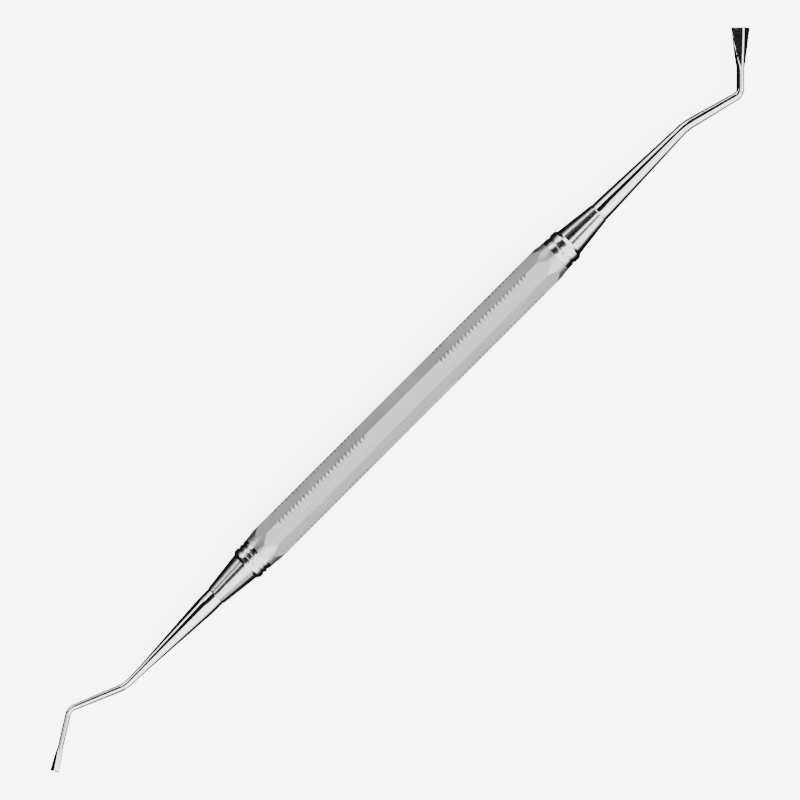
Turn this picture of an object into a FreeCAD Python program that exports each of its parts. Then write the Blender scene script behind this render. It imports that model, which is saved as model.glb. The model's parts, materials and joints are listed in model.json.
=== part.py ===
import FreeCAD, Part
import math
import os
from collections import namedtuple

Vector = FreeCAD.Vector

# A double-ended dental plugger with screw-in points. Row frame, in millimetres: +X runs along the
# handle towards the large end, both points are bent in planes parallel to XY, +Z is up, and the
# origin is the middle of the flat that the handle lies on.

# ---- Handle: an octagonal steel tube with a turned nose pressed into each end ----
HANDLE_LENGTH = 88.0  # between the two shoulders that the points seat on
ACROSS_FLATS = 6.4
TUBE_LENGTH = 68.0
TUBE_BORE = 4.4
TUBE_END_DIAMETER = 6.1  # the octagon's corners are turned down to this at both ends
TUBE_END_LAND = 0.6
TUBE_END_TAPER = 2.6
PLAIN_MIDDLE = 17.0  # smooth stretch between the two gripping zones
GRIP_ZONE = 20.0
NOTCH_PITCH = 0.8
NOTCH_FLOOR = 6.5  # diameter at the bottom of the notches, just outside the flats
NOTCH_WIDTH = 0.5

# ---- Nose ----
NOSE_LENGTH = (HANDLE_LENGTH - TUBE_LENGTH) / 2
NOSE_TIP_DIAMETER = 3.6
NOSE_CONE_LENGTH = 6.8
NOSE_CONE_DIAMETER = 5.2
COLLAR_DIAMETER = 6.0
COLLAR_STEP = 0.5  # length of the chamfer between the cone and the collar
MARK_WIDTH = 0.35
MARK_DEPTH = 0.15
MARK_SPACING = 0.8
EDGE_BREAK = 0.12
SPIGOT_LENGTH = 6.0
BOND_GAP = 0.02  # radial gap of the spigot in the tube, filled by its bond

# ---- Ring that seals a nose in the tube ----
RING_SECTION = 0.48
RING_GROOVE_WIDTH = 0.7
RING_GROOVE_DIAMETER = 3.4
RING_FROM_COLLAR = 3.0

# ---- Socket in the nose, and the tang that screws into it ----
PITCH = 0.4
THREAD_DIAMETER = 2.0
THREAD_CORE_DIAMETER = 1.52
THREAD_RELIEF = 0.2  # plain core left at each end of the thread
TANG_LENGTH = 6.0
PILOT_DIAMETER = 2.3
PILOT_END = 2.0  # depth of the pilot's far end below the shoulder
FIT_CLEARANCE = 0.03  # radial gap of the pilot and of the thread
TANG_CHAMFER = 0.3
SOCKET_DEPTH = 7.0
DRILL_POINT = 0.6

# ---- Seal under the point's shoulder ----
SEAL_POCKET_DIAMETER = 3.0
SEAL_POCKET_DEPTH = 0.6
SEAL_INNER_DIAMETER = 2.0
SEAL_OUTER_DIAMETER = 2.9
SEAL_THICKNESS = 0.5
SEAL_GAP = 0.05
SEAL_NECK_DIAMETER = 1.9

# ---- Points ----
# cone is the turned outline from the shoulder to the first bend, as (distance, diameter) pairs.
# Angles are turns in the bend plane from the handle's axis, in degrees. Lengths run between the
# corners of the centre line. The working face is a four-sided lozenge: two sides, the angle
# between them, and the angle of the first side to the bend plane. The flare's two blunt edges are
# rounded to edge_round.
Point = namedtuple(
    "Point",
    "name cone cone_length neck_angle neck_length neck_end tip_angle tip_length tip_start flare"
    " bend_radius elbow_radius side_a side_b corner side_tilt edge_round marks",
)
LARGE = Point(
    name="large",
    cone=[(0.0, 3.4), (1.5, 3.4), (18.9, 1.85)],
    cone_length=19.9,
    neck_angle=-14.7,
    neck_length=10.3,
    neck_end=1.42,
    tip_angle=45.0,
    tip_length=10.85,
    tip_start=1.3,
    flare=6.5,
    bend_radius=8.0,
    elbow_radius=1.5,
    side_a=2.3,
    side_b=2.2,
    corner=52.0,
    side_tilt=13.5,
    edge_round=0.6,
    marks=1,
)
SMALL = Point(
    name="small",
    cone=[(0.0, 3.4), (2.4, 3.4), (16.8, 1.44), (19.6, 1.28)],
    cone_length=20.7,
    neck_angle=-22.6,
    neck_length=9.9,
    neck_end=1.08,
    tip_angle=31.9,
    tip_length=10.4,
    tip_start=0.95,
    flare=3.9,
    bend_radius=5.2,
    elbow_radius=1.7,
    side_a=1.15,
    side_b=1.45,
    corner=46.5,
    side_tilt=22.5,
    edge_round=0.3,
    marks=2,
)

FACET_START = 1.03  # where the facets start, as a share of the shank's radius
FLARE_MARGIN = 1.02  # the round flare at the face, as a share of the lozenge's longest half

AXIS_HEIGHT = ACROSS_FLATS / 2
CORNER_RADIUS = AXIS_HEIGHT / math.cos(math.radians(22.5))
ORIGIN = Vector(0, 0, 0)
AHEAD = Vector(1, 0, 0)
LEFT = Vector(0, 1, 0)
UP = Vector(0, 0, 1)


def turned(outline):
    """A solid turned about the X axis from (x, radius) corners."""
    corners = [Vector(x, radius, 0) for x, radius in outline]
    face = Part.Face(Part.makePolygon(corners + corners[:1]))
    return face.revolve(ORIGIN, AHEAD, 360)


def rod(radius, start, end):
    """A plain cylinder along the X axis."""
    return Part.makeCylinder(radius, end - start, Vector(start, 0, 0), AHEAD)


def turned_ring(middle, width, inner_radius, outer_radius):
    """A ring of rectangular section about the X axis."""
    start = middle - width / 2
    end = middle + width / 2
    return turned([(start, inner_radius), (end, inner_radius), (end, outer_radius), (start, outer_radius)])


# ---- Handle ----


def octagonal_bar():
    """An octagonal bar as long as the tube, with a flat facing down."""
    corners = []
    for index in range(8):
        angle = math.radians(22.5 + 45 * index)
        left = CORNER_RADIUS * math.cos(angle)
        up = CORNER_RADIUS * math.sin(angle)
        corners.append(Vector(-TUBE_LENGTH / 2, left, up))
    return Part.Face(Part.makePolygon(corners + corners[:1])).extrude(AHEAD * TUBE_LENGTH)


def notch(middle):
    """The V-shaped ring that a notch takes out of the octagon's corners."""
    depth = CORNER_RADIUS - NOTCH_FLOOR / 2
    reach = NOTCH_WIDTH / 2 * (depth + 1) / depth
    outside = CORNER_RADIUS + 1
    return turned([(middle, NOTCH_FLOOR / 2), (middle + reach, outside), (middle - reach, outside)])


def grip_tube():
    """The octagonal tube: bored through, turned round at both ends, its corners notched for grip."""
    half = TUBE_LENGTH / 2
    taper_end = half - TUBE_END_LAND - TUBE_END_TAPER
    turned_ends = turned(
        [
            (-half, 0),
            (-half, TUBE_END_DIAMETER / 2),
            (-half + TUBE_END_LAND, TUBE_END_DIAMETER / 2),
            (-taper_end, CORNER_RADIUS),
            (-taper_end, CORNER_RADIUS + 1),
            (taper_end, CORNER_RADIUS + 1),
            (taper_end, CORNER_RADIUS),
            (half - TUBE_END_LAND, TUBE_END_DIAMETER / 2),
            (half, TUBE_END_DIAMETER / 2),
            (half, 0),
        ]
    )
    tube = octagonal_bar().common(turned_ends).cut(rod(TUBE_BORE / 2, -half - 1, half + 1))
    notches = []
    for index in range(int(GRIP_ZONE / NOTCH_PITCH)):
        middle = PLAIN_MIDDLE / 2 + (index + 0.5) * NOTCH_PITCH
        notches += [notch(middle), notch(-middle)]
    return tube.cut(notches)


def nose(point):
    """A turned nose: cone, marked collar, spigot with a ring groove, and the socket for the tang."""
    tip = NOSE_TIP_DIAMETER / 2
    collar = COLLAR_DIAMETER / 2
    collar_start = -NOSE_CONE_LENGTH - COLLAR_STEP
    spigot = TUBE_BORE / 2 - BOND_GAP
    spigot_end = -NOSE_LENGTH - SPIGOT_LENGTH
    outside = turned(
        [
            (0, 0),
            (0, tip - EDGE_BREAK),
            (-EDGE_BREAK, tip),
            (-NOSE_CONE_LENGTH, NOSE_CONE_DIAMETER / 2),
            (collar_start, collar),
            (-NOSE_LENGTH, collar),
            (-NOSE_LENGTH, spigot),
            (spigot_end + EDGE_BREAK, spigot),
            (spigot_end, spigot - EDGE_BREAK),
            (spigot_end, 0),
        ]
    )
    grooves = [
        turned_ring(
            -NOSE_LENGTH - RING_FROM_COLLAR, RING_GROOVE_WIDTH, RING_GROOVE_DIAMETER / 2, TUBE_BORE
        )
    ]
    marks_middle = (collar_start - NOSE_LENGTH) / 2
    for index in range(point.marks):
        middle = marks_middle + (index - (point.marks - 1) / 2) * MARK_SPACING
        grooves.append(turned_ring(middle, MARK_WIDTH, collar - MARK_DEPTH, collar + 1))
    return outside.cut(grooves + [socket()])


def socket():
    """The hole in a nose: seal pocket, pilot bore, threaded bore at its major diameter, drill point."""
    pilot = PILOT_DIAMETER / 2 + FIT_CLEARANCE
    thread = THREAD_DIAMETER / 2 + FIT_CLEARANCE
    return turned(
        [
            (1, 0),
            (1, SEAL_POCKET_DIAMETER / 2),
            (-SEAL_POCKET_DEPTH, SEAL_POCKET_DIAMETER / 2),
            (-SEAL_POCKET_DEPTH, pilot),
            (-PILOT_END - FIT_CLEARANCE, pilot),
            (-PILOT_END - FIT_CLEARANCE, thread),
            (-SOCKET_DEPTH, thread),
            (-SOCKET_DEPTH - DRILL_POINT, 0),
        ]
    )


def nose_ring():
    """The round-section ring in the spigot's groove."""
    return Part.makeTorus(
        RING_GROOVE_DIAMETER / 2 + RING_SECTION / 2 + 0.01,
        RING_SECTION / 2,
        Vector(-NOSE_LENGTH - RING_FROM_COLLAR, 0, 0),
        AHEAD,
    )


def tang_seal():
    """The flat ring under the point's shoulder, held behind the tang's pilot."""
    middle = -SEAL_GAP - SEAL_THICKNESS / 2
    return turned_ring(middle, SEAL_THICKNESS, SEAL_INNER_DIAMETER / 2, SEAL_OUTER_DIAMETER / 2)


# ---- Points ----


def thread_ridge():
    """The helical ridge of the tang's thread, its root sunk a little into the core."""
    core = THREAD_CORE_DIAMETER / 2
    length = TANG_LENGTH - PILOT_END - TANG_CHAMFER - 2 * THREAD_RELIEF
    root_half = 0.42 * PITCH
    crest_half = 0.08 * PITCH
    sink = 0.03
    section = [
        Vector(core - sink, 0, -root_half),
        Vector(THREAD_DIAMETER / 2, 0, -crest_half),
        Vector(THREAD_DIAMETER / 2, 0, crest_half),
        Vector(core - sink, 0, root_half),
    ]
    helix = Part.Wire(Part.makeHelix(PITCH, length, core))
    ridge = helix.makePipeShell([Part.makePolygon(section + section[:1])], True, True)
    # the helix climbs along Z from 0, so it is laid along X and slid back to the thread's inner end
    ridge.rotate(ORIGIN, LEFT, 90)
    ridge.translate(Vector(-TANG_LENGTH + TANG_CHAMFER + THREAD_RELIEF, 0, 0))
    return ridge


def tang():
    """Seal neck, pilot and threaded core, behind the shoulder at x = 0."""
    core = THREAD_CORE_DIAMETER / 2
    neck_end = -SEAL_THICKNESS - 2 * SEAL_GAP
    blank = turned(
        [
            (0, 0),
            (0, SEAL_NECK_DIAMETER / 2),
            (neck_end, SEAL_NECK_DIAMETER / 2),
            (neck_end, PILOT_DIAMETER / 2),
            (-PILOT_END, PILOT_DIAMETER / 2),
            (-PILOT_END, core),
            (-TANG_LENGTH + TANG_CHAMFER, core),
            (-TANG_LENGTH, core - TANG_CHAMFER / 2),
            (-TANG_LENGTH, 0),
        ]
    )
    return blank.fuse(thread_ridge())


class Route:
    """Where the centre line of a point has got to, and the pieces made along it so far."""

    def __init__(self, start):
        self.x = start
        self.y = 0.0
        self.heading = 0.0
        self.pieces = []

    def put(self, piece):
        """Adds a piece that was made along +X from the origin."""
        piece.rotate(ORIGIN, UP, self.heading)
        piece.translate(Vector(self.x, self.y, 0))
        self.pieces.append(piece)

    def go(self, ahead, aside):
        """Moves on by this much ahead and to the left."""
        angle = math.radians(self.heading)
        self.x += ahead * math.cos(angle) - aside * math.sin(angle)
        self.y += ahead * math.sin(angle) + aside * math.cos(angle)

    def straight(self, length, start_radius, end_radius):
        """A tapered round stretch."""
        self.put(Part.makeCone(start_radius, end_radius, length, ORIGIN, AHEAD))
        self.go(length, 0)

    def bend(self, turn, bend_radius, radius):
        """A round stretch bent through this angle, to the left if it is positive."""
        side = math.copysign(1, turn)
        disc = Part.Face(Part.Wire(Part.makeCircle(radius, ORIGIN, AHEAD)))
        self.put(disc.revolve(Vector(0, side * bend_radius, 0), UP * side, abs(turn)))
        angle = math.radians(abs(turn))
        self.go(bend_radius * math.sin(angle), side * bend_radius * (1 - math.cos(angle)))
        self.heading += turn


def lozenge(point, side_a, side_b, ahead):
    """A closed four-sided outline with the face's angles and these sides, this far ahead."""
    tilt = math.radians(point.side_tilt)
    second = tilt + math.radians(point.corner)
    half_a = Vector(0, math.cos(tilt), math.sin(tilt)) * (side_a / 2)
    half_b = Vector(0, math.cos(second), math.sin(second)) * (side_b / 2)
    middle = AHEAD * ahead
    corners = [
        middle - half_a - half_b,
        middle + half_a - half_b,
        middle + half_a + half_b,
        middle - half_a + half_b,
    ]
    return Part.makePolygon(corners + corners[:1])


def reach_of(vertex):
    """How far a corner is from the X axis."""
    return math.hypot(vertex.Y, vertex.Z)


def blunt_edges_rounded(facets, length, reach, radius):
    """Rounds the two long edges that end less than this reach from the axis."""
    blunt = []
    for edge in facets.Edges:
        start, end = sorted(edge.Vertexes, key=lambda vertex: vertex.X)
        runs_along = end.X - start.X > length / 2
        if runs_along and reach_of(end) < reach:
            blunt.append(edge)
    return facets.makeFillet(radius, blunt)


def flared_tip(point, start_radius):
    """The working end: a round flare with four flat facets ground on it, out to the lozenge face."""
    # the facets start just outside the round shank, all at the same distance from its axis
    start_side = 2 * FACET_START * start_radius / math.sin(math.radians(point.corner))
    facets = Part.makeLoft(
        [
            lozenge(point, start_side, start_side, 0),
            lozenge(point, point.side_a, point.side_b, point.flare),
        ],
        True,
        True,
    )
    reaches = sorted(reach_of(vertex) for vertex in lozenge(point, point.side_a, point.side_b, 0).Vertexes)
    middle_reach = (reaches[0] + reaches[-1]) / 2
    facets = blunt_edges_rounded(facets, point.flare, middle_reach, point.edge_round)
    cone = Part.makeCone(start_radius, FLARE_MARGIN * reaches[-1], point.flare, ORIGIN, AHEAD)
    return cone.common(facets)


def route_of(point):
    """Lays out cone, bend, neck, elbow, shank and flared tip, and returns the finished route."""
    elbow_turn = point.tip_angle - point.neck_angle
    bend_reach = point.bend_radius * math.tan(math.radians(abs(point.neck_angle)) / 2)
    elbow_reach = point.elbow_radius * math.tan(math.radians(abs(elbow_turn)) / 2)
    cone_end = point.cone_length - bend_reach
    neck_start = point.cone[-1][1] / 2
    outline = [(x, diameter / 2) for x, diameter in point.cone if x < cone_end]
    outline = [(0, 0)] + outline + [(cone_end, neck_start), (cone_end, 0)]
    route = Route(cone_end)
    route.pieces.append(turned(outline))
    route.bend(point.neck_angle, point.bend_radius, neck_start)
    route.straight(point.neck_length - bend_reach - elbow_reach, neck_start, point.neck_end / 2)
    route.bend(elbow_turn, point.elbow_radius, point.neck_end / 2)
    shank = point.tip_length - elbow_reach - point.flare
    route.straight(shank, point.neck_end / 2, point.tip_start / 2)
    route.put(flared_tip(point, point.tip_start / 2))
    route.go(point.flare, 0)
    return route


def screw_in_point(point):
    """One point in a single piece, from its threaded tang to its working face."""
    route = route_of(point)
    return route.pieces[0].fuse(route.pieces[1:] + [tang()])


def in_place(shape, point):
    """Moves a shape made about its own shoulder out to its end of the handle."""
    placed = shape.copy()
    placed.translate(Vector(HANDLE_LENGTH / 2, 0, AXIS_HEIGHT))
    if point is SMALL:
        placed.rotate(ORIGIN, UP, 180)
    return placed


def save(shape, name):
    """Writes one piece, after testing that it is a single sound solid."""
    if len(shape.Solids) != 1 or not shape.isValid():
        raise ValueError(f"{name} isn't one sound solid")
    shape.Solids[0].exportStep(f"parts/{name}.step")


def main():
    os.makedirs("parts", exist_ok=True)
    tube = grip_tube()
    tube.translate(UP * AXIS_HEIGHT)
    save(tube, "grip_tube")
    for point in (LARGE, SMALL):
        save(in_place(nose(point), point), f"{point.name}_nose")
        save(in_place(nose_ring(), point), f"{point.name}_nose_ring")
        save(in_place(tang_seal(), point), f"{point.name}_tang_seal")
        save(in_place(screw_in_point(point), point), f"{point.name}_point")
        route = route_of(point)
        print(point.name, "face at", route.x + HANDLE_LENGTH / 2, route.y, "heading", route.heading)


main()
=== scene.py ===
import json
import math
from collections import namedtuple

import bpy
import numpy as np
from mathutils import Euler, Matrix, Vector


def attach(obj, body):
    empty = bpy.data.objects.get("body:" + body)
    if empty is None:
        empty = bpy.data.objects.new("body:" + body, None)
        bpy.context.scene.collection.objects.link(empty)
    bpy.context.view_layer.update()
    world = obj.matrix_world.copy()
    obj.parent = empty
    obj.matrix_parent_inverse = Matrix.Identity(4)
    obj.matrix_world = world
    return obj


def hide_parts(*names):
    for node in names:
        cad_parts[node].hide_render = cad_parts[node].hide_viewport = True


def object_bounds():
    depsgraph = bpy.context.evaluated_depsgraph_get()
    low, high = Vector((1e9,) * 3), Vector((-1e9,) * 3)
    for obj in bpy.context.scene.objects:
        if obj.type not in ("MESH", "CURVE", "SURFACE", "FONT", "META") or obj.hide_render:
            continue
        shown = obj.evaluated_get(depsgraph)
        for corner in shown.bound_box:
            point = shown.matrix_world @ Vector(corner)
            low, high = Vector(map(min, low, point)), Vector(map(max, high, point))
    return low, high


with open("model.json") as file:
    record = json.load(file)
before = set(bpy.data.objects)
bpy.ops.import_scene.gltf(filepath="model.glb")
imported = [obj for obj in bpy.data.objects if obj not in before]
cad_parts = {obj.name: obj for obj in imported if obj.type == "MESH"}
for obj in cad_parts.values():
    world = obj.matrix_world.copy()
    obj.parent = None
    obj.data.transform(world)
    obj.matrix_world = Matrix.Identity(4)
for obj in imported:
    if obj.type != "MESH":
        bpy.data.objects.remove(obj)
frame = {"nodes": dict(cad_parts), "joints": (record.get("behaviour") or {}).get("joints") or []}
cad_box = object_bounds()

# A double-ended plugger. Each end's pieces are made in millimetres about the shoulder that its point
# seats on, with +X pointing away from the handle, and are then set in their place on the frame.
MM = 0.001

# ---- Sizes that the frame doesn't give by name, in millimetres ----
PITCH = 0.4
THREAD_CREST = 1.0  # radius
THREAD_CORE = 0.76  # radius
THREAD_CLEARANCE = 0.03
TANG_LENGTH = 6.0
TANG_CHAMFER = 0.3
TANG_TIP = 0.45  # length of the plain end, with its chamfer
TANG_THREAD = (0.48, 0.16)  # lengths beyond the thread, at the tang's end and at the pilot
PILOT_STUB = 0.1  # plain core beside the pilot
PILOT_RADIUS = 1.15
PILOT_END = 2.0
SEAL_NECK_RADIUS = 0.95
SEAL_NECK_LENGTH = 0.6
SEAL_RADII = (1.0, 1.45)
SEAL_SPAN = (-0.55, -0.05)
SHOULDER_EDGE = 0.12
BODY_START = 0.15  # where the rings along the bent centre line begin
FACE_EDGE = 0.03
SOCKET_DEPTH = 7.0
SOCKET_FLOOR = 0.3  # plain bore above the socket's bottom
SOCKET_THREAD = (0.35, 0.08)  # lengths beyond the thread, at the socket's bottom and at its pilot bore
DRILL_POINT = 0.5
POCKET_RADIUS = 1.5
NOSE_TIP_RADIUS = 1.8
NOSE_TIP_CHAMFER = 0.12
NOSE_CONE_RADIUS = 2.6
NOSE_CONE_LENGTH = 6.8
COLLAR_RADIUS = 3.0
COLLAR_STEP = 0.5
NOSE_LENGTH = 10.0
SPIGOT_RADIUS = 2.18
SPIGOT_LENGTH = 6.0
RING_GROOVE = (-13.35, -12.65, 1.7)
MARK_WIDTH = 0.35
MARK_DEPTH = 0.15
MARK_SPACING = 0.8
# how far each turned or moulded corner is eased
TANG_EASE = 0.04
SHOULDER_EASE = 0.05
NOSE_EASE = 0.06
SEAL_EASE = 0.12

Point = namedtuple(
    "Point",
    "name profile cone_length neck_angle neck_length tip_angle tip_length flare"
    " bend_radius elbow_radius side_a side_b corner side_tilt edge_round marks",
)
# profile is (distance along the centre line, radius), round as far as the flare. flare is the length of
# the flare. side_a and side_b are the lozenge face's sides, corner the angle between them, and side_tilt
# how far the first is turned from the bend plane. marks is the number of size grooves on the nose.
LARGE = Point(
    name="large",
    profile=[
        (0.0, 1.7), (1.6, 1.69), (10.0, 1.33), (18.9, 0.93),
        (21.0, 0.9), (29.0, 0.7), (31.5, 0.67), (34.4, 0.65),
    ],
    cone_length=19.9,
    neck_angle=-14.7,
    neck_length=10.3,
    tip_angle=45.0,
    tip_length=10.85,
    flare=6.5,
    bend_radius=8.0,
    elbow_radius=1.5,
    side_a=2.3,
    side_b=2.2,
    corner=52.0,
    side_tilt=13.5,
    edge_round=0.6,
    marks=1,
)
SMALL = Point(
    name="small",
    profile=[
        (0.0, 1.7), (2.4, 1.69), (9.6, 1.21), (16.8, 0.72), (19.6, 0.64),
        (21.6, 0.62), (28.6, 0.54), (31.0, 0.49), (36.0, 0.475),
    ],
    cone_length=20.7,
    neck_angle=-22.6,
    neck_length=9.9,
    tip_angle=31.9,
    tip_length=10.4,
    flare=3.9,
    bend_radius=5.2,
    elbow_radius=1.7,
    side_a=1.15,
    side_b=1.45,
    corner=46.5,
    side_tilt=22.5,
    edge_round=0.3,
    marks=2,
)
# The flare starts as a circle just inside its facets, and ends as a lozenge just inside its circle.
FACET_START = 1.03
FLARE_MARGIN = 1.02

# ---- How the surfaces are worked out ----
AXIS_GAP = 0.01  # radius of the tiny flat where an end closes on the axis, in millimetres
THREAD_STEPS = 12  # rings to one turn of thread
THREAD_PEAK = 1.25  # the thread's height at the middle of its crest, before it is cut off flat at 1
THREAD_SLOPE = 3.4  # how much that height falls in one pitch
CORNER_CROWDING = 0.75  # 0 spreads a section's points evenly, 1 crowds them at the corners
EDGE_SOFTNESS = 0.004  # millimetres
LEAST_FACING = 0.05  # cosine below which a facet faces too far from a direction to limit it
ROUND_LIMIT = 0.95  # the widest round edge, as a share of the radius where the flare starts
PROFILE_EASE = 0.9  # millimetres each way over which the profile's corners are eased
PROFILE_SAMPLES = 13
BEND_STEP = 2.5  # degrees

# ---- Studio ----
TENT_LIGHT = 5.5
TENT_DARK = 0.012  # what is left of the light on a dark card
DARK_SKIRT = (-0.97, -0.05)  # heights of a unit direction between which the tent has a dark skirt
SKIRT_EDGE = 0.06
FLOOR_GLOW = 5.0
FLOOR_REACH = 3.0  # metres from the middle to each side
FLOOR_GAP = 0.00002  # metres below the handle
CAMERA_ROLL = -45  # degrees
CAMERA_DISTANCE = 1.6  # metres
CAMERA_FILL = 0.93  # share of the picture that the instrument spans
SENSOR_WIDTH = 36  # millimetres
CARD_EDGE = 1.5  # degrees
CARD_SIDE_EDGE = 0.03
# A card covers these tilts in degrees from overhead towards its azimuth, and to each side these parts of a
# unit direction. depth is the share of the light that it takes away. Each card is where one stretch of the
# steel mirrors it to a camera overhead.
Card = namedtuple("Card", "azimuth tilts sides depth")
DARK_CARDS = [
    # the streak along both cones and the large neck
    Card(azimuth=90, tilts=(8, 50), sides=(-0.6, 0.33), depth=1.0),
    # the dark left sides of the large shank and of the small shank
    Card(azimuth=135, tilts=(16, 114), sides=(-0.1, 0.6), depth=1.0),
    Card(azimuth=121.5, tilts=(50, 114), sides=(-0.2, 0.2), depth=1.0),
    # the small neck's streak and its two outlines, and the small shank's right outline
    Card(azimuth=67.4, tilts=(-3, 68), sides=(-0.1, 0.1), depth=1.0),
    Card(azimuth=67.4, tilts=(88, 115), sides=(-0.1, 0.1), depth=1.0),
    Card(azimuth=247.4, tilts=(62, 115), sides=(-0.1, 0.1), depth=1.0),
    Card(azimuth=301.9, tilts=(66, 115), sides=(-0.12, 0.05), depth=1.0),
    # a short stretch of the upper left side of both elbows
    Card(azimuth=99.3, tilts=(16, 60), sides=(-0.08, 0.08), depth=1.0),
    Card(azimuth=99.3, tilts=(80, 115), sides=(-0.08, 0.08), depth=1.0),
    # the large tip's wider facet
    Card(azimuth=-49, tilts=(18, 37), sides=(-0.17, 0.17), depth=1.0),
    # the bands just inside the outlines of the cones and the handle
    Card(azimuth=90, tilts=(76, 104), sides=(-0.9, 0.9), depth=0.85),
    Card(azimuth=-90, tilts=(78, 102), sides=(-0.9, 0.9), depth=0.65),
]


# ---- Placing ----


def hinge_of(point):
    """The joint that a point turns on."""
    return next(j for j in frame["joints"] if j["name"] == f"{point.name}_screw_turn")


def place_of(point):
    """Takes a piece from its own shoulder frame, in millimetres, to its end of the handle."""
    joint = hinge_of(point)
    outward = Vector(joint["axis"])
    half_turn = Matrix.Rotation(0 if outward.x > 0 else math.pi, 4, "Z")
    return Matrix.Translation(Vector(joint["pos_m"])) @ half_turn @ Matrix.Scale(MM, 4)


# ---- Mesh making ----


def mesh_piece(name, rings, matrix, closed_ends=True, sharp_degrees=35):
    """A piece skinned over closed rings of points, all with the same count, one after another."""
    count = len(rings[0])
    points = [matrix @ Vector(p) for ring in rings for p in ring]
    faces = []
    for r in range(len(rings) - 1):
        for i in range(count):
            j = (i + 1) % count
            faces.append((r * count + i, r * count + j, (r + 1) * count + j, (r + 1) * count + i))
    if closed_ends:
        faces.append(tuple(reversed(range(count))))
        last = (len(rings) - 1) * count
        faces.append(tuple(range(last, last + count)))
    mesh = bpy.data.meshes.new(name)
    mesh.from_pydata(points, [], faces)
    mesh.validate()
    mesh.shade_smooth()
    mesh.set_sharp_from_angle(angle=math.radians(sharp_degrees))
    piece = bpy.data.objects.new(name, mesh)
    bpy.context.scene.collection.objects.link(piece)
    return piece


def softened(corners, reach, steps=3):
    """Replaces each inner corner of an (x, radius) outline by a small round."""
    soft = [corners[0]]
    for before, here, after in zip(corners, corners[1:], corners[2:]):
        a, b, c = (np.array(p, float) for p in (before, here, after))
        into = np.linalg.norm(b - a)
        out = np.linalg.norm(c - b)
        r = min(reach, 0.45 * into, 0.45 * out)
        start = b + (a - b) / into * r
        end = b + (c - b) / out * r
        for t in np.linspace(0, 1, steps + 1):
            soft.append(tuple((1 - t) ** 2 * start + 2 * t * (1 - t) * b + t * t * end))
    soft.append(corners[-1])
    return soft


def ring_at(x, radii, angles):
    """A ring about the X axis, with a radius for each angle."""
    return [(x, r * math.cos(a), r * math.sin(a)) for r, a in zip(radii, angles)]


def even_angles(count):
    """Directions evenly round a circle."""
    return [2 * math.pi * i / count for i in range(count)]


def thread_height(x, angle):
    """How far up its flank a right-hand thread is here: 0 at the root, 1 on the crest."""
    phase = (x / PITCH - angle / (2 * math.pi)) % 1.0
    return min(1.0, max(0.0, THREAD_PEAK - THREAD_SLOPE * abs(phase - 0.5)))


def thread_rings(start, end, core, crest, angles, fade=0.25):
    """Rings along a threaded stretch, from start to end. The thread fades out at both ends."""
    low, high = min(start, end), max(start, end)
    rings = []
    steps = int(round((high - low) / PITCH * THREAD_STEPS))
    for i in range(steps + 1):
        x = start + (end - start) * i / steps
        full = min(1.0, (x - low) / fade, (high - x) / fade)
        radii = [core + (crest - core) * full * thread_height(x, a) for a in angles]
        rings.append(ring_at(x, radii, angles))
    return rings


# ---- Points ----


def facets_at_face(point):
    """For each of the four facets: the direction of its normal, and its distance from the axis."""
    tilt = math.radians(point.side_tilt)
    corner = math.radians(point.corner)
    facets = []
    for direction, across in ((tilt, point.side_b), (tilt + corner, point.side_a)):
        distance = across * math.sin(corner) / 2
        for turn in (-math.pi / 2, math.pi / 2):
            facets.append((direction + turn, distance))
    return facets


def corner_angles(point):
    """The directions of the lozenge's corners round the axis, in order, and how far out each is."""
    tilt = math.radians(point.side_tilt)
    second = tilt + math.radians(point.corner)
    corners = []
    for sign_a, sign_b in ((-1, -1), (1, -1), (1, 1), (-1, 1)):
        left = (sign_a * point.side_a * math.cos(tilt) + sign_b * point.side_b * math.cos(second)) / 2
        up = (sign_a * point.side_a * math.sin(tilt) + sign_b * point.side_b * math.sin(second)) / 2
        corners.append((math.atan2(up, left) % (2 * math.pi), math.hypot(left, up)))
    return sorted(corners)


def section_angles(point, count=160):
    """Angles round a section, with the four corners among them and closer steps beside each."""
    corners = [a for a, _ in corner_angles(point)]
    angles = []
    each = count // 4
    for start, end in zip(corners, corners[1:] + [corners[0] + 2 * math.pi]):
        for i in range(each):
            t = i / each
            t = t - CORNER_CROWDING * math.sin(2 * math.pi * t) / (2 * math.pi)
            angles.append(start + (end - start) * t)
    return angles


def soft_min(values, softness):
    """The least of these values, rounded off where two are nearly equal."""
    low = min(values)
    total = sum(math.exp(-(v - low) / softness) for v in values)
    return low - softness * math.log(total)


def round_edge(angle, first, second, reach):
    """How far out a round edge between two facets is at this angle, or None where it isn't."""
    inner = []
    for normal, distance in (first, second):
        inner.append((Vector((math.cos(normal), math.sin(normal))), distance - reach))
    (n1, d1), (n2, d2) = inner
    across = n1.x * n2.y - n1.y * n2.x
    centre = Vector(((d1 * n2.y - d2 * n1.y) / across, (n1.x * d2 - n2.x * d1) / across))
    ray = Vector((math.cos(angle), math.sin(angle)))
    along = centre.dot(ray)
    inside = reach * reach - centre.length_squared + along * along
    if inside <= 0:
        return None
    radius = along + math.sqrt(inside)
    outward = ray * radius - centre
    if outward.dot(n1 + n2) <= 0:
        return None
    beyond_first = (n1.x * outward.y - n1.y * outward.x) * across
    beyond_second = (outward.x * n2.y - outward.y * n2.x) * across
    return radius if beyond_first >= 0 and beyond_second >= 0 else None


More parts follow.
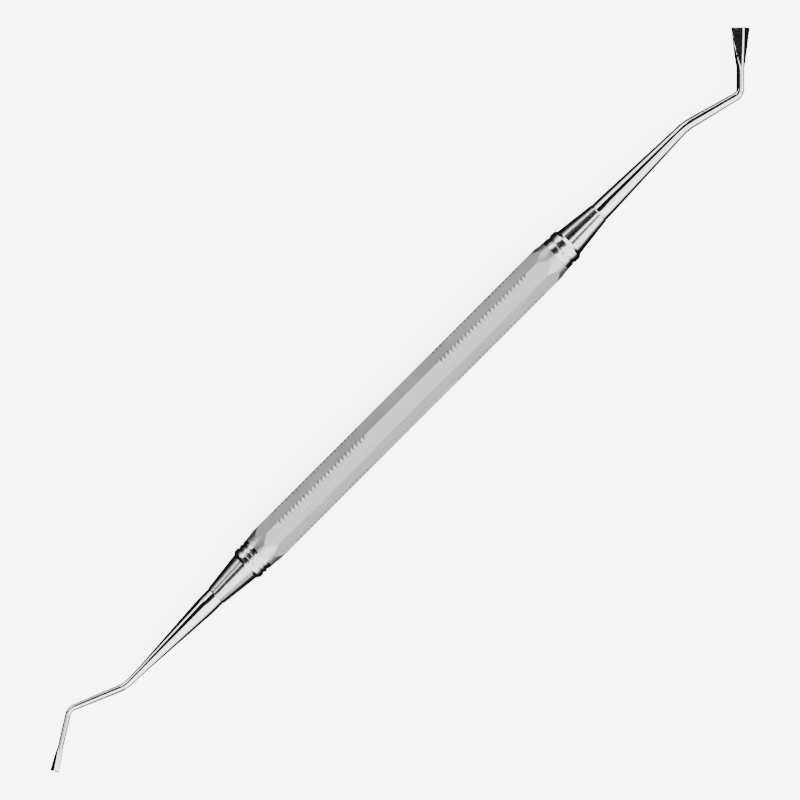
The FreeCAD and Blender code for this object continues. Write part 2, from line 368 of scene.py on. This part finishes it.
def flare_radii(point, share, start_radius, angles):
    """The section's radius at each angle, this share of the way along the flare: a round flare cut by
    four flat facets, whose two blunt edges are rounded."""
    reach = max(r for _, r in corner_angles(point))
    cone = start_radius + (FLARE_MARGIN * reach - start_radius) * share
    facets = [
        (normal, (1 - share) * FACET_START * start_radius + share * distance)
        for normal, distance in facets_at_face(point)
    ]
    edges = blunt_edges(facets)
    edge_round = min(point.edge_round, ROUND_LIMIT * start_radius)
    radii = []
    for angle in angles:
        limits = [cone]
        for normal, distance in facets:
            facing = math.cos(angle - normal)
            if facing > LEAST_FACING:
                limits.append(distance / facing)
        for first, second in edges:
            rounded = round_edge(angle, first, second, edge_round)
            if rounded is not None:
                limits.append(rounded)
        radii.append(soft_min(limits, EDGE_SOFTNESS))
    return radii


def blunt_edges(facets):
    """The pairs of facets whose normals are less than a right angle apart."""
    pairs = []
    for first in facets:
        for second in facets:
            turn = (second[0] - first[0]) % (2 * math.pi)
            if 0 < turn < math.pi / 2:
                pairs.append((first, second))
    return pairs


def centre_line(point, step=0.22):
    """(distance, x, y, heading) along the bent centre line, from the shoulder to the face."""
    elbow_turn = point.tip_angle - point.neck_angle
    bend_reach = point.bend_radius * math.tan(math.radians(abs(point.neck_angle)) / 2)
    elbow_reach = point.elbow_radius * math.tan(math.radians(abs(elbow_turn)) / 2)
    legs = [
        (point.cone_length - bend_reach, 0, 0),
        (None, point.neck_angle, point.bend_radius),
        (point.neck_length - bend_reach - elbow_reach, 0, 0),
        (None, elbow_turn, point.elbow_radius),
        (point.tip_length - elbow_reach, 0, 0),
    ]
    s = x = y = 0.0
    heading = 0.0
    stations = [(s, x, y, heading)]
    for length, turn, radius in legs:
        if turn:
            length = radius * math.radians(abs(turn))
            steps = max(4, int(abs(turn) / BEND_STEP))
        else:
            steps = max(2, int(length / step))
        for _ in range(steps):
            heading += math.radians(turn) / steps / 2
            # a chord's middle direction keeps an arc's points on the arc
            ds = length / steps
            chord = ds if not turn else 2 * radius * math.sin(ds / radius / 2)
            x += chord * math.cos(heading)
            y += chord * math.sin(heading)
            heading += math.radians(turn) / steps / 2
            s += ds
            stations.append((s, x, y, heading))
    return stations


def profile_radius(point, s):
    """The round section's radius this far along, with the profile's corners eased out."""
    xs, rs = zip(*point.profile)
    offsets = np.linspace(-PROFILE_EASE, PROFILE_EASE, PROFILE_SAMPLES)
    weights = 1 - offsets**2
    values = np.interp(np.maximum(s + offsets * min(1.0, s / PROFILE_EASE), 0), xs, rs)
    return float((values * weights).sum() / weights.sum())


def tang_rings(point, angles):
    """Rings of a point's tang, from its threaded end to the shoulder."""
    core = THREAD_CORE
    end = softened(
        [
            (-TANG_LENGTH, 2 * AXIS_GAP),
            (-TANG_LENGTH, core - TANG_CHAMFER / 2),
            (-TANG_LENGTH + TANG_CHAMFER, core),
            (-TANG_LENGTH + TANG_TIP, core),
        ],
        TANG_EASE,
    )
    shoulder = softened(
        [
            (-PILOT_END - PILOT_STUB, core),
            (-PILOT_END, core),
            (-PILOT_END, PILOT_RADIUS),
            (-SEAL_NECK_LENGTH, PILOT_RADIUS),
            (-SEAL_NECK_LENGTH, SEAL_NECK_RADIUS),
            (0, SEAL_NECK_RADIUS),
            (0, point.profile[0][1]),
            (SHOULDER_EDGE, profile_radius(point, SHOULDER_EDGE)),
        ],
        SHOULDER_EASE,
    )
    thread_start = -TANG_LENGTH + TANG_THREAD[0]
    thread_end = -PILOT_END - TANG_THREAD[1]
    rings = [ring_at(x, [r] * len(angles), angles) for x, r in end]
    rings += thread_rings(thread_start, thread_end, core, THREAD_CREST, angles)
    rings += [ring_at(x, [r] * len(angles), angles) for x, r in shoulder]
    return rings


def point_rings(point):
    """Every ring of a point, from the end of its tang to its working face."""
    angles = section_angles(point)
    rings = tang_rings(point, angles)
    stations = [st for st in centre_line(point) if st[0] > BODY_START]
    flare_start = stations[-1][0] - point.flare
    start_radius = point.profile[-1][1]
    for s, x, y, heading in stations[:-1]:
        share = max(0.0, (s - flare_start) / point.flare)
        if share > 0:
            radii = flare_radii(point, share, start_radius, angles)
        else:
            radii = [profile_radius(point, s)] * len(angles)
        rings.append(bent_ring(x, y, heading, radii, angles))
    _, x, y, heading = stations[-1]
    radii = flare_radii(point, 1.0, start_radius, angles)
    for back, inset in ((FACE_EDGE, 0.0), (FACE_EDGE * 0.3, FACE_EDGE * 0.3), (0.0, FACE_EDGE)):
        face_x = x - back * math.cos(heading)
        face_y = y - back * math.sin(heading)
        rings.append(bent_ring(face_x, face_y, heading, [r - inset for r in radii], angles))
    return rings


def bent_ring(x, y, heading, radii, angles):
    """A ring square to the centre line at this place and heading in the bend plane."""
    ring = []
    for r, a in zip(radii, angles):
        left = r * math.cos(a)
        ring.append((x - left * math.sin(heading), y + left * math.cos(heading), r * math.sin(a)))
    return ring


# ---- Noses and seals ----


def nose_outside(point):
    """The (x, radius) outline of a nose from its pilot bore, round its tip and along to its spigot's end."""
    bore = PILOT_RADIUS + THREAD_CLEARANCE
    collar_start = -NOSE_CONE_LENGTH - COLLAR_STEP
    outline = [
        (-PILOT_END - THREAD_CLEARANCE, THREAD_CORE + THREAD_CLEARANCE),
        (-PILOT_END - THREAD_CLEARANCE, bore),
        (-SEAL_NECK_LENGTH, bore),
        (-SEAL_NECK_LENGTH, POCKET_RADIUS),
        (0, POCKET_RADIUS),
        (0, NOSE_TIP_RADIUS - NOSE_TIP_CHAMFER),
        (-NOSE_TIP_CHAMFER, NOSE_TIP_RADIUS),
        (-NOSE_CONE_LENGTH, NOSE_CONE_RADIUS),
        (collar_start, COLLAR_RADIUS),
    ]
    marks_middle = (collar_start - NOSE_LENGTH) / 2
    for index in reversed(range(point.marks)):
        middle = marks_middle + (index - (point.marks - 1) / 2) * MARK_SPACING
        outline += [
            (middle + MARK_WIDTH / 2, COLLAR_RADIUS),
            (middle + MARK_WIDTH / 2, COLLAR_RADIUS - MARK_DEPTH),
            (middle - MARK_WIDTH / 2, COLLAR_RADIUS - MARK_DEPTH),
            (middle - MARK_WIDTH / 2, COLLAR_RADIUS),
        ]
    spigot_end = -NOSE_LENGTH - SPIGOT_LENGTH
    groove_end, groove_start, groove_radius = RING_GROOVE
    outline += [
        (-NOSE_LENGTH, COLLAR_RADIUS),
        (-NOSE_LENGTH, SPIGOT_RADIUS),
        (groove_start, SPIGOT_RADIUS),
        (groove_start, groove_radius),
        (groove_end, groove_radius),
        (groove_end, SPIGOT_RADIUS),
        (spigot_end, SPIGOT_RADIUS),
        (spigot_end, AXIS_GAP),
    ]
    return outline


def nose_rings(point, segments=96):
    """Rings of a nose from the end of its spigot, round the tip, to the bottom of its socket."""
    angles = even_angles(segments)
    core = THREAD_CORE + THREAD_CLEARANCE
    crest = THREAD_CREST + THREAD_CLEARANCE
    bottom = [
        (-SOCKET_DEPTH - DRILL_POINT, AXIS_GAP),
        (-SOCKET_DEPTH, core),
        (-SOCKET_DEPTH + SOCKET_FLOOR, core),
    ]
    thread_start = -SOCKET_DEPTH + SOCKET_THREAD[0]
    thread_end = -PILOT_END - SOCKET_THREAD[1]
    rings = [ring_at(x, [r] * segments, angles) for x, r in softened(bottom, SHOULDER_EASE)]
    rings += thread_rings(thread_start, thread_end, core, crest, angles)
    rings += [ring_at(x, [r] * segments, angles) for x, r in softened(nose_outside(point), NOSE_EASE)]
    return rings[::-1]


def seal_rings(segments=96):
    """Rings round the section of a flat seal, the first repeated at the end."""
    angles = even_angles(segments)
    low, high = SEAL_SPAN
    inner, outer = SEAL_RADII
    middle = (low + high) / 2
    outline = [(middle, inner), (low, inner), (low, outer), (high, outer), (high, inner), (middle, inner)]
    return [ring_at(x, [r] * segments, angles) for x, r in softened(outline, SEAL_EASE, 4)]


# ---- Materials ----
# Noise scales are in cycles to a metre, and bump depths in metres.
GRIND_STRETCH = 0.02  # cycles along a grinding mark for each one across it
TURN_STRETCH = 0.06  # the same for a turning mark
HAIR_TURN = (0.1, 0.15, 0.12)  # radians off the handle's line
HAIR_SCALE = (90.0, 2400.0, 2400.0)
HAIR_LEVEL = (0.63, 0.64, 0.008)  # the noise levels that are scratches, and their soft edge
SMUDGE_SCALE = 140.0
RUBBER_GRAIN = 6000.0
RUBBER_ROUGHNESS = (0.45, 0.65)
RUBBER_DEPTH = 0.00001


def new_material(name):
    """An empty node material, its node tree and its main shader."""
    material = bpy.data.materials.new(name)
    material.use_nodes = True
    tree = material.node_tree
    return material, tree, tree.nodes["Principled BSDF"]


def node(tree, kind, **inputs):
    """Adds a shader node and sets its input sockets by name."""
    made = tree.nodes.new(kind)
    for key, value in inputs.items():
        made.inputs[key.replace("_", " ")].default_value = value
    return made


def steel(name, colour, roughness, marks, lengthwise, mark_depth, scratch_depth, shade):
    """Stainless steel, with fine marks this far apart, in metres, left by grinding along the piece or
    by turning round it, and with hair scratches and handling smudges over them. shade is how much darker
    the marks are."""
    material, tree, shader = new_material(name)
    link = tree.links.new
    shader.inputs["Metallic"].default_value = 1.0
    coords = node(tree, "ShaderNodeTexCoord")
    fine = 1 / marks
    ground = (GRIND_STRETCH * fine, fine, fine)
    turned = (fine, TURN_STRETCH * fine, TURN_STRETCH * fine)
    scale = ground if lengthwise else turned
    stretch = node(tree, "ShaderNodeMapping", Scale=scale)
    link(coords.outputs["Object"], stretch.inputs["Vector"])
    lines = node(tree, "ShaderNodeTexNoise", Scale=1.0, Detail=3.0, Roughness=0.6)
    link(stretch.outputs["Vector"], lines.inputs["Vector"])

    # hair scratches are the thin level lines round the peaks of a long, turned noise
    slant = node(tree, "ShaderNodeMapping", Rotation=HAIR_TURN, Scale=HAIR_SCALE)
    link(coords.outputs["Object"], slant.inputs["Vector"])
    hairs = node(tree, "ShaderNodeTexNoise", Scale=1.0, Detail=2.0, Roughness=0.5)
    link(slant.outputs["Vector"], hairs.inputs["Vector"])
    scratch = between(tree, hairs.outputs["Fac"], *HAIR_LEVEL)

    smudge = node(tree, "ShaderNodeTexNoise", Scale=SMUDGE_SCALE, Detail=3.0, Roughness=0.6)
    link(coords.outputs["Object"], smudge.inputs["Vector"])
    low, high = roughness
    satin = combine(tree, "MULTIPLY", rising(tree, smudge.outputs["Fac"], 0.3, 0.7), high - low)
    worn = combine(tree, "MULTIPLY", scratch, 0.5 * low)
    link(combine(tree, "ADD", combine(tree, "ADD", satin, worn), low), shader.inputs["Roughness"])

    tint = node(tree, "ShaderNodeMix")
    tint.data_type = "RGBA"
    dark, pale = (s for s in tint.inputs if s.type == "RGBA")
    dark.default_value = (*[c * (1 - shade) for c in colour], 1)
    pale.default_value = (*colour, 1)
    link(rising(tree, lines.outputs["Fac"], 0.3, 0.65), tint.inputs["Factor"])
    mixed = next(s for s in tint.outputs if s.type == "RGBA")
    link(mixed, shader.inputs["Base Color"])

    bump_lines = node(tree, "ShaderNodeBump", Strength=1.0, Distance=mark_depth)
    link(lines.outputs["Fac"], bump_lines.inputs["Height"])
    bump_hairs = node(tree, "ShaderNodeBump", Strength=1.0, Distance=scratch_depth)
    bump_hairs.invert = True
    link(scratch, bump_hairs.inputs["Height"])
    link(bump_lines.outputs["Normal"], bump_hairs.inputs["Normal"])
    link(bump_hairs.outputs["Normal"], shader.inputs["Normal"])
    return material


def rubber(name, colour):
    """Moulded rubber with a fine, dull grain."""
    material, tree, shader = new_material(name)
    link = tree.links.new
    coords = node(tree, "ShaderNodeTexCoord")
    grain = node(tree, "ShaderNodeTexNoise", Scale=RUBBER_GRAIN, Detail=3.0)
    link(coords.outputs["Object"], grain.inputs["Vector"])
    dullness = node(tree, "ShaderNodeMapRange")
    dullness.inputs["To Min"].default_value, dullness.inputs["To Max"].default_value = RUBBER_ROUGHNESS
    link(grain.outputs["Fac"], dullness.inputs["Value"])
    link(dullness.outputs["Result"], shader.inputs["Roughness"])
    bump = node(tree, "ShaderNodeBump", Strength=1.0, Distance=RUBBER_DEPTH)
    link(grain.outputs["Fac"], bump.inputs["Height"])
    link(bump.outputs["Normal"], shader.inputs["Normal"])
    shader.inputs["Base Color"].default_value = (*colour, 1)
    return material


# ---- Stage ----


def make_floor():
    """A pale floor just under the handle. It glows, so that it is as pale as the tent, and steel doesn't
    mirror it."""
    reach = FLOOR_REACH
    low = cad_box[0][2] - FLOOR_GAP
    corners = [(-reach, -reach, low), (reach, -reach, low), (reach, reach, low), (-reach, reach, low)]
    mesh = bpy.data.meshes.new("floor")
    mesh.from_pydata(corners, [], [(0, 1, 2, 3)])
    floor = bpy.data.objects.new("floor", mesh)
    bpy.context.scene.collection.objects.link(floor)
    material, _, shader = new_material("floor_paint")
    shader.inputs["Base Color"].default_value = (0.9, 0.9, 0.9, 1)
    shader.inputs["Emission Color"].default_value = (1, 1, 1, 1)
    shader.inputs["Emission Strength"].default_value = FLOOR_GLOW
    shader.inputs["Roughness"].default_value = 0.7
    shader.inputs["Specular IOR Level"].default_value = 0.2
    mesh.materials.append(material)
    floor.visible_glossy = False


def make_camera():
    """Looks straight down, with the handle running from the lower left to the upper right."""
    roll = math.radians(CAMERA_ROLL)
    right = Vector((math.cos(roll), math.sin(roll), 0))
    up = Vector((-math.sin(roll), math.cos(roll), 0))
    spread = {"right": [], "up": []}
    for cad_node in frame["nodes"].values():
        for vertex in cad_node.data.vertices:
            spread["right"].append(vertex.co.dot(right))
            spread["up"].append(vertex.co.dot(up))
    middle_right = (min(spread["right"]) + max(spread["right"])) / 2
    middle_up = (min(spread["up"]) + max(spread["up"])) / 2
    widest = max(max(v) - min(v) for v in spread.values())
    field = widest / CAMERA_FILL
    lens = bpy.data.cameras.new("camera")
    lens.lens = SENSOR_WIDTH * CAMERA_DISTANCE / field
    lens.clip_end = 20
    camera = bpy.data.objects.new("camera", lens)
    camera.location = right * middle_right + up * middle_up + Vector((0, 0, CAMERA_DISTANCE))
    camera.rotation_euler = Euler((0, 0, roll))
    bpy.context.scene.collection.objects.link(camera)
    bpy.context.scene.camera = camera


def make_world():
    """A light tent: white light from all round, with a dark skirt below and dark cards inside it.
    Polished steel mirrors the skirt as dark outlines and the cards as dark streaks."""
    world = bpy.data.worlds.new("studio")
    world.use_nodes = True
    tree = world.node_tree
    coords = node(tree, "ShaderNodeTexCoord")
    direction = coords.outputs["Generated"]
    parts = node(tree, "ShaderNodeSeparateXYZ")
    tree.links.new(direction, parts.inputs["Vector"])
    height = parts.outputs["Z"]
    light = combine(tree, "SUBTRACT", 1.0, between(tree, height, *DARK_SKIRT, SKIRT_EDGE))
    for card in DARK_CARDS:
        light = combine(tree, "MULTIPLY", light, outside_card(tree, direction, height, card))
    strength = combine(tree, "MULTIPLY", light, TENT_LIGHT)
    background = tree.nodes["Background"]
    background.inputs["Color"].default_value = (1, 1, 1, 1)
    tree.links.new(combine(tree, "ADD", strength, TENT_DARK), background.inputs["Strength"])
    bpy.context.scene.world = world


def combine(tree, operation, first, second):
    """The result of this Math operation on two numbers or sockets."""
    made = tree.nodes.new("ShaderNodeMath")
    made.operation = operation
    for socket, value in zip(made.inputs, (first, second)):
        if isinstance(value, (int, float)):
            socket.default_value = value
        else:
            tree.links.new(value, socket)
    return made.outputs["Value"]


def rising(tree, source, low, high):
    """Rises smoothly from 0 to 1 between these values."""
    made = tree.nodes.new("ShaderNodeMapRange")
    made.interpolation_type = "SMOOTHSTEP"
    made.inputs["From Min"].default_value = low
    made.inputs["From Max"].default_value = high
    tree.links.new(source, made.inputs["Value"])
    return made.outputs["Result"]


def between(tree, source, low, high, edge):
    """1 between these values and 0 outside them, with soft edges."""
    return combine(
        tree,
        "SUBTRACT",
        rising(tree, source, low - edge, low + edge),
        rising(tree, source, high - edge, high + edge),
    )


def outside_card(tree, direction, height, card):
    """1 outside a dark card, and what is left of the light inside it."""
    azimuth = math.radians(card.azimuth)
    towards = (math.cos(azimuth), math.sin(azimuth), 0)
    sideways = (-math.sin(azimuth), math.cos(azimuth), 0)
    aims = []
    for vector in (towards, sideways):
        dot = node(tree, "ShaderNodeVectorMath")
        dot.operation = "DOT_PRODUCT"
        dot.inputs[1].default_value = vector
        tree.links.new(direction, dot.inputs[0])
        aims.append(dot.outputs["Value"])
    tilt = combine(tree, "ARCTAN2", aims[0], height)
    near, far = (math.radians(a) for a in card.tilts)
    inside = combine(
        tree,
        "MULTIPLY",
        between(tree, tilt, near, far, math.radians(CARD_EDGE)),
        between(tree, aims[1], *card.sides, CARD_SIDE_EDGE),
    )
    return combine(tree, "SUBTRACT", 1.0, combine(tree, "MULTIPLY", inside, card.depth))


# ---- Build ----

make_camera()
make_world()
make_floor()

point_steel = steel(
    "point_steel",
    colour=(0.62, 0.62, 0.625),
    roughness=(0.05, 0.11),
    marks=0.00005,
    lengthwise=False,
    mark_depth=0.0000002,
    scratch_depth=0.0000001,
    shade=0.06,
)
nose_steel = steel(
    "nose_steel",
    colour=(0.5, 0.5, 0.505),
    roughness=(0.13, 0.2),
    marks=0.00008,
    lengthwise=False,
    mark_depth=0.0000015,
    scratch_depth=0.000001,
    shade=0.16,
)
grip_steel = steel(
    "grip_steel",
    colour=(0.44, 0.44, 0.445),
    roughness=(0.34, 0.44),
    marks=0.00011,
    lengthwise=True,
    mark_depth=0.000002,
    scratch_depth=0.000001,
    shade=0.22,
)
ring_rubber = rubber("ring_rubber", (0.02, 0.02, 0.02))
seal_rubber = rubber("seal_rubber", (0.03, 0.03, 0.033))

for point in (LARGE, SMALL):
    place = place_of(point)

    body = mesh_piece(f"{point.name}_point_steel", point_rings(point), place, sharp_degrees=20)
    body.data.materials.append(point_steel)
    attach(body, f"{point.name}_point")
    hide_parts(f"{point.name}_point")

    nose = mesh_piece(f"{point.name}_nose_turned", nose_rings(point), place)
    nose.data.materials.append(nose_steel)
    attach(nose, "handle")
    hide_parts(f"{point.name}_nose")

    seal = mesh_piece(f"{point.name}_seal_moulded", seal_rings(), place, closed_ends=False)
    seal.data.materials.append(seal_rubber)
    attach(seal, f"{point.name}_seal")
    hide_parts(f"{point.name}_tang_seal")

    ring = frame["nodes"][f"{point.name}_nose_ring"]
    ring.data.materials.clear()
    ring.data.materials.append(ring_rubber)

tube = frame["nodes"]["grip_tube"]
tube.data.materials.clear()
tube.data.materials.append(grip_steel)
